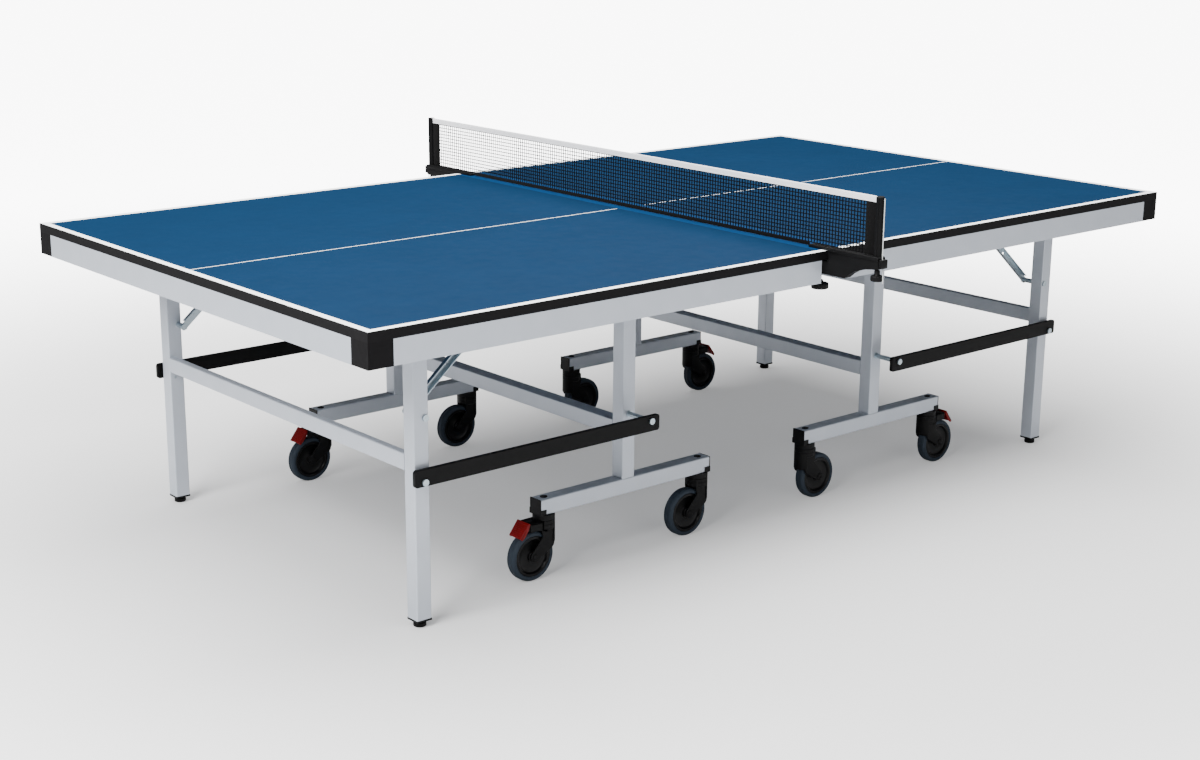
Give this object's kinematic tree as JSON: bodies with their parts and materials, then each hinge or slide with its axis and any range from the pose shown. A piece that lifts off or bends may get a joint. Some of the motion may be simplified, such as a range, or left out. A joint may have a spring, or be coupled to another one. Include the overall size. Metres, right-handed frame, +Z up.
{
  "type": "ping pong table",
  "caption": "Roll-away table tennis table in two folding halves on swivel casters, with folding outer legs, control bars, diagonal braces and a clamp-on net.",
  "frame": {"origin": "on the floor under the middle of the table", "axes": "+X along the table, +Y across it along the net, +Z up"},
  "size_m": [2.74, 1.872, 0.9125],
  "materials": {
    "playing_surface": "satin",
    "edge_band": "matte",
    "silver_steel": "satin",
    "black_plastic": "matte",
    "zinc_steel": "satin",
    "black_steel": "satin",
    "tyre_grey": "matte",
    "brake_red": "satin",
    "net_black": "matte",
    "tape_white": "matte"
  },
  "bodies": {
    "left_carriage": {"left_post_frame": "silver_steel", "left_beam_plugs": "black_plastic", "left_post_bolts": "zinc_steel"},
    "left_tabletop": {"left_table_panel": "playing_surface", "left_edge_band": "edge_band", "left_apron": "silver_steel", "left_corner_caps": "black_plastic", "left_under_frame": "zinc_steel", "net_clamp_near": "black_steel", "net_clamp_far": "black_steel", "net_posts": "black_steel", "net_mesh": "net_black", "net_tape": "tape_white", "net_cord": "tape_white"},
    "left_legs": {"left_leg_frame": "silver_steel", "left_leg_plugs": "black_plastic", "left_leg_bolts": "zinc_steel"},
    "left_bars": {"left_control_bars": "black_steel"},
    "left_brace_pair": {"left_braces": "zinc_steel"},
    "left_foot_near": {"left_foot_near": "black_plastic"},
    "left_fork_inner_near": {"left_fork_inner_near": "black_plastic"},
    "left_wheel_inner_near": {"left_wheel_inner_near": "tyre_grey"},
    "left_fork_outer_near": {"left_fork_outer_near": "black_plastic"},
    "left_wheel_outer_near": {"left_wheel_outer_near": "tyre_grey"},
    "left_brake_pedal_near": {"left_brake_pedal_near": "brake_red"},
    "left_foot_far": {"left_foot_far": "black_plastic"},
    "left_fork_inner_far": {"left_fork_inner_far": "black_plastic"},
    "left_wheel_inner_far": {"left_wheel_inner_far": "tyre_grey"},
    "left_fork_outer_far": {"left_fork_outer_far": "black_plastic"},
    "left_wheel_outer_far": {"left_wheel_outer_far": "tyre_grey"},
    "left_brake_pedal_far": {"left_brake_pedal_far": "brake_red"},
    "right_carriage": {"right_post_frame": "silver_steel", "right_beam_plugs": "black_plastic", "right_post_bolts": "zinc_steel"},
    "right_tabletop": {"right_table_panel": "playing_surface", "right_edge_band": "edge_band", "right_apron": "silver_steel", "right_corner_caps": "black_plastic", "right_under_frame": "zinc_steel"},
    "right_legs": {"right_leg_frame": "silver_steel", "right_leg_plugs": "black_plastic", "right_leg_bolts": "zinc_steel"},
    "right_bars": {"right_control_bars": "black_steel"},
    "right_brace_pair": {"right_braces": "zinc_steel"},
    "right_foot_near": {"right_foot_near": "black_plastic"},
    "right_fork_inner_near": {"right_fork_inner_near": "black_plastic"},
    "right_wheel_inner_near": {"right_wheel_inner_near": "tyre_grey"},
    "right_fork_outer_near": {"right_fork_outer_near": "black_plastic"},
    "right_wheel_outer_near": {"right_wheel_outer_near": "tyre_grey"},
    "right_brake_pedal_near": {"right_brake_pedal_near": "brake_red"},
    "right_foot_far": {"right_foot_far": "black_plastic"},
    "right_fork_inner_far": {"right_fork_inner_far": "black_plastic"},
    "right_wheel_inner_far": {"right_wheel_inner_far": "tyre_grey"},
    "right_fork_outer_far": {"right_fork_outer_far": "black_plastic"},
    "right_wheel_outer_far": {"right_wheel_outer_far": "tyre_grey"},
    "right_brake_pedal_far": {"right_brake_pedal_far": "brake_red"},
    "clamp_screw_near": {"clamp_screw_near": "black_plastic"},
    "post_knob_near": {"post_knob_near": "black_plastic"},
    "clamp_screw_far": {"clamp_screw_far": "black_plastic"},
    "post_knob_far": {"post_knob_far": "black_plastic"}
  },
  "joints": [
    {"name": "left_fold", "type": "hinge", "parent": "left_carriage", "child": "left_tabletop", "pos_m": [-0.453, 0, 0.705], "axis": [0, 1, 0], "range_deg": [0, 90]},
    {"name": "left_legs_fold", "type": "hinge", "parent": "left_tabletop", "child": "left_legs", "pos_m": [-1.122, 0, 0.689], "axis": [0, 1, 0], "range_deg": [-90, 0]},
    {"name": "left_bars_swing", "type": "hinge", "parent": "left_carriage", "child": "left_bars", "pos_m": [-0.453, 0, 0.367], "axis": [0, 1, 0], "range_deg": [0, 90]},
    {"name": "left_braces_swing", "type": "hinge", "parent": "left_legs", "child": "left_brace_pair", "pos_m": [-1.106, 0, 0.492], "axis": [0, 1, 0], "range_deg": [0, 129]},
    {"name": "left_foot_near_turn", "type": "hinge", "parent": "left_legs", "child": "left_foot_near", "pos_m": [-1.117, -0.56, 0.01], "axis": [0, 0, 1], "continuous": true},
    {"name": "left_fork_inner_near_swivel", "type": "hinge", "parent": "left_carriage", "child": "left_fork_inner_near", "pos_m": [-0.2, -0.496, 0.15], "axis": [0, 0, 1], "continuous": true},
    {"name": "left_wheel_inner_near_roll", "type": "hinge", "parent": "left_fork_inner_near", "child": "left_wheel_inner_near", "pos_m": [-0.242, -0.496, 0.0625], "axis": [0, 1, 0], "continuous": true},
    {"name": "left_fork_outer_near_swivel", "type": "hinge", "parent": "left_carriage", "child": "left_fork_outer_near", "pos_m": [-0.706, -0.496, 0.15], "axis": [0, 0, 1], "continuous": true},
    {"name": "left_wheel_outer_near_roll", "type": "hinge", "parent": "left_fork_outer_near", "child": "left_wheel_outer_near", "pos_m": [-0.748, -0.496, 0.0625], "axis": [0, 1, 0], "continuous": true},
    {"name": "left_brake_pedal_near_press", "type": "hinge", "parent": "left_fork_outer_near", "child": "left_brake_pedal_near", "pos_m": [-0.73, -0.496, 0.137], "axis": [0, -1, 0], "range_deg": [0, 4]},
    {"name": "left_foot_far_turn", "type": "hinge", "parent": "left_legs", "child": "left_foot_far", "pos_m": [-1.117, 0.56, 0.01], "axis": [0, 0, 1], "continuous": true},
    {"name": "left_fork_inner_far_swivel", "type": "hinge", "parent": "left_carriage", "child": "left_fork_inner_far", "pos_m": [-0.2, 0.496, 0.15], "axis": [0, 0, 1], "continuous": true},
    {"name": "left_wheel_inner_far_roll", "type": "hinge", "parent": "left_fork_inner_far", "child": "left_wheel_inner_far", "pos_m": [-0.242, 0.496, 0.0625], "axis": [0, 1, 0], "continuous": true},
    {"name": "left_fork_outer_far_swivel", "type": "hinge", "parent": "left_carriage", "child": "left_fork_outer_far", "pos_m": [-0.706, 0.496, 0.15], "axis": [0, 0, 1], "continuous": true},
    {"name": "left_wheel_outer_far_roll", "type": "hinge", "parent": "left_fork_outer_far", "child": "left_wheel_outer_far", "pos_m": [-0.748, 0.496, 0.0625], "axis": [0, 1, 0], "continuous": true},
    {"name": "left_brake_pedal_far_press", "type": "hinge", "parent": "left_fork_outer_far", "child": "left_brake_pedal_far", "pos_m": [-0.73, 0.496, 0.137], "axis": [0, -1, 0], "range_deg": [0, 4]},
    {"name": "right_fold", "type": "hinge", "parent": "right_carriage", "child": "right_tabletop", "pos_m": [0.453, 0, 0.705], "axis": [0, -1, 0], "range_deg": [0, 90]},
    {"name": "right_legs_fold", "type": "hinge", "parent": "right_tabletop", "child": "right_legs", "pos_m": [1.122, 0, 0.689], "axis": [0, -1, 0], "range_deg": [-90, 0]},
    {"name": "right_bars_swing", "type": "hinge", "parent": "right_carriage", "child": "right_bars", "pos_m": [0.453, 0, 0.367], "axis": [0, -1, 0], "range_deg": [0, 90]},
    {"name": "right_braces_swing", "type": "hinge", "parent": "right_legs", "child": "right_brace_pair", "pos_m": [1.106, 0, 0.492], "axis": [0, -1, 0], "range_deg": [0, 129]},
    {"name": "right_foot_near_turn", "type": "hinge", "parent": "right_legs", "child": "right_foot_near", "pos_m": [1.117, -0.56, 0.01], "axis": [0, 0, 1], "continuous": true},
    {"name": "right_fork_inner_near_swivel", "type": "hinge", "parent": "right_carriage", "child": "right_fork_inner_near", "pos_m": [0.2, -0.496, 0.15], "axis": [0, 0, 1], "continuous": true},
    {"name": "right_wheel_inner_near_roll", "type": "hinge", "parent": "right_fork_inner_near", "child": "right_wheel_inner_near", "pos_m": [0.242, -0.496, 0.0625], "axis": [0, 1, 0], "continuous": true},
    {"name": "right_fork_outer_near_swivel", "type": "hinge", "parent": "right_carriage", "child": "right_fork_outer_near", "pos_m": [0.706, -0.496, 0.15], "axis": [0, 0, 1], "continuous": true},
    {"name": "right_wheel_outer_near_roll", "type": "hinge", "parent": "right_fork_outer_near", "child": "right_wheel_outer_near", "pos_m": [0.748, -0.496, 0.0625], "axis": [0, 1, 0], "continuous": true},
    {"name": "right_brake_pedal_near_press", "type": "hinge", "parent": "right_fork_outer_near", "child": "right_brake_pedal_near", "pos_m": [0.73, -0.496, 0.137], "axis": [0, 1, 0], "range_deg": [0, 4]},
    {"name": "right_foot_far_turn", "type": "hinge", "parent": "right_legs", "child": "right_foot_far", "pos_m": [1.117, 0.56, 0.01], "axis": [0, 0, 1], "continuous": true},
    {"name": "right_fork_inner_far_swivel", "type": "hinge", "parent": "right_carriage", "child": "right_fork_inner_far", "pos_m": [0.2, 0.496, 0.15], "axis": [0, 0, 1], "continuous": true},
    {"name": "right_wheel_inner_far_roll", "type": "hinge", "parent": "right_fork_inner_far", "child": "right_wheel_inner_far", "pos_m": [0.242, 0.496, 0.0625], "axis": [0, 1, 0], "continuous": true},
    {"name": "right_fork_outer_far_swivel", "type": "hinge", "parent": "right_carriage", "child": "right_fork_outer_far", "pos_m": [0.706, 0.496, 0.15], "axis": [0, 0, 1], "continuous": true},
    {"name": "right_wheel_outer_far_roll", "type": "hinge", "parent": "right_fork_outer_far", "child": "right_wheel_outer_far", "pos_m": [0.748, 0.496, 0.0625], "axis": [0, 1, 0], "continuous": true},
    {"name": "right_brake_pedal_far_press", "type": "hinge", "parent": "right_fork_outer_far", "child": "right_brake_pedal_far", "pos_m": [0.73, 0.496, 0.137], "axis": [0, 1, 0], "range_deg": [0, 4]},
    {"name": "clamp_screw_near_turn", "type": "hinge", "parent": "left_tabletop", "child": "clamp_screw_near", "pos_m": [-0.0245, -0.736, 0.7], "axis": [0, 0, 1], "continuous": true},
    {"name": "post_knob_near_turn", "type": "hinge", "parent": "left_tabletop", "child": "post_knob_near", "pos_m": [-0.0175, -0.913, 0.7], "axis": [0, 0, 1], "continuous": true},
    {"name": "clamp_screw_far_turn", "type": "hinge", "parent": "left_tabletop", "child": "clamp_screw_far", "pos_m": [-0.0245, 0.736, 0.7], "axis": [0, 0, 1], "continuous": true},
    {"name": "post_knob_far_turn", "type": "hinge", "parent": "left_tabletop", "child": "post_knob_far", "pos_m": [-0.0175, 0.913, 0.7], "axis": [0, 0, 1], "continuous": true},
    {"name": "left_half_roll", "type": "slide", "parent": "right_carriage", "child": "left_carriage", "axis": [-1, 0, 0], "range_m": [0, 0.5]}
  ],
  "couplings": [
    {"joint": "left_legs_fold", "follows": "left_fold", "ratio": -1},
    {"joint": "left_bars_swing", "follows": "left_fold", "ratio": 1},
    {"joint": "left_braces_swing", "follows": "left_fold", "ratio": 1.433},
    {"joint": "right_legs_fold", "follows": "right_fold", "ratio": -1},
    {"joint": "right_bars_swing", "follows": "right_fold", "ratio": 1},
    {"joint": "right_braces_swing", "follows": "right_fold", "ratio": 1.433},
    {"joint": "left_half_roll", "follows": "left_fold", "m_per_rad": 0.318}
  ]
}
